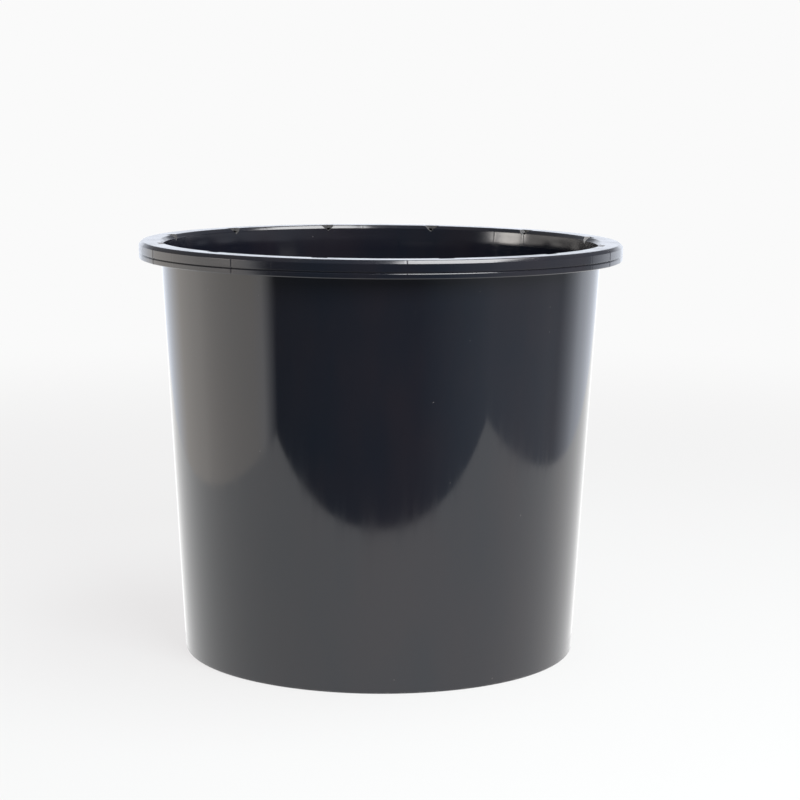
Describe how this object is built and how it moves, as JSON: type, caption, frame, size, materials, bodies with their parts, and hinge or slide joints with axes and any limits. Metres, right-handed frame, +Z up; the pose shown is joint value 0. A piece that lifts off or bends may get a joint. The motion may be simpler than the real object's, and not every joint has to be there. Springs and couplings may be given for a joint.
{
  "type": "florist bucket",
  "caption": "Round tapered one-piece bucket for cut flowers, with a hollow turned-down rim, ribs under the rim and a raised foot.",
  "frame": {"origin": "centre of the foot, on the floor that the bucket stands on", "axes": "+Z up along the bucket's axis; the ribs and notches repeat round it, and -Y is the side that faces the viewer"},
  "size_m": [0.3, 0.3, 0.2564],
  "materials": {
    "black_plastic": "glossy black moulded polypropylene with fine scuffs and flow marks"
  },
  "bodies": {
    "root": {"side_wall": "black_plastic", "heel": "black_plastic", "foot_ring": "black_plastic", "base_plate": "black_plastic", "rim_collar": "black_plastic", "rim_flange": "black_plastic", "rim_skirt": "black_plastic", "rim_lip": "black_plastic", "rim_rib_01": "black_plastic", "rim_rib_02": "black_plastic", "rim_rib_03": "black_plastic", "rim_rib_04": "black_plastic", "rim_rib_05": "black_plastic", "rim_rib_06": "black_plastic", "rim_rib_07": "black_plastic", "rim_rib_08": "black_plastic", "rim_rib_09": "black_plastic", "rim_rib_10": "black_plastic", "rim_rib_11": "black_plastic", "rim_rib_12": "black_plastic", "rim_rib_13": "black_plastic", "rim_rib_14": "black_plastic", "rim_rib_15": "black_plastic", "rim_rib_16": "black_plastic", "rim_rib_17": "black_plastic", "rim_rib_18": "black_plastic", "rim_rib_19": "black_plastic", "rim_rib_20": "black_plastic", "rim_rib_21": "black_plastic", "rim_rib_22": "black_plastic", "rim_rib_23": "black_plastic", "rim_rib_24": "black_plastic", "rim_rib_25": "black_plastic", "rim_rib_26": "black_plastic", "rim_rib_27": "black_plastic", "rim_rib_28": "black_plastic", "rim_rib_29": "black_plastic", "rim_rib_30": "black_plastic", "rim_rib_31": "black_plastic", "rim_rib_32": "black_plastic", "rim_rib_33": "black_plastic", "rim_rib_34": "black_plastic", "rim_rib_35": "black_plastic", "rim_rib_36": "black_plastic"}
  },
  "joints": []
}
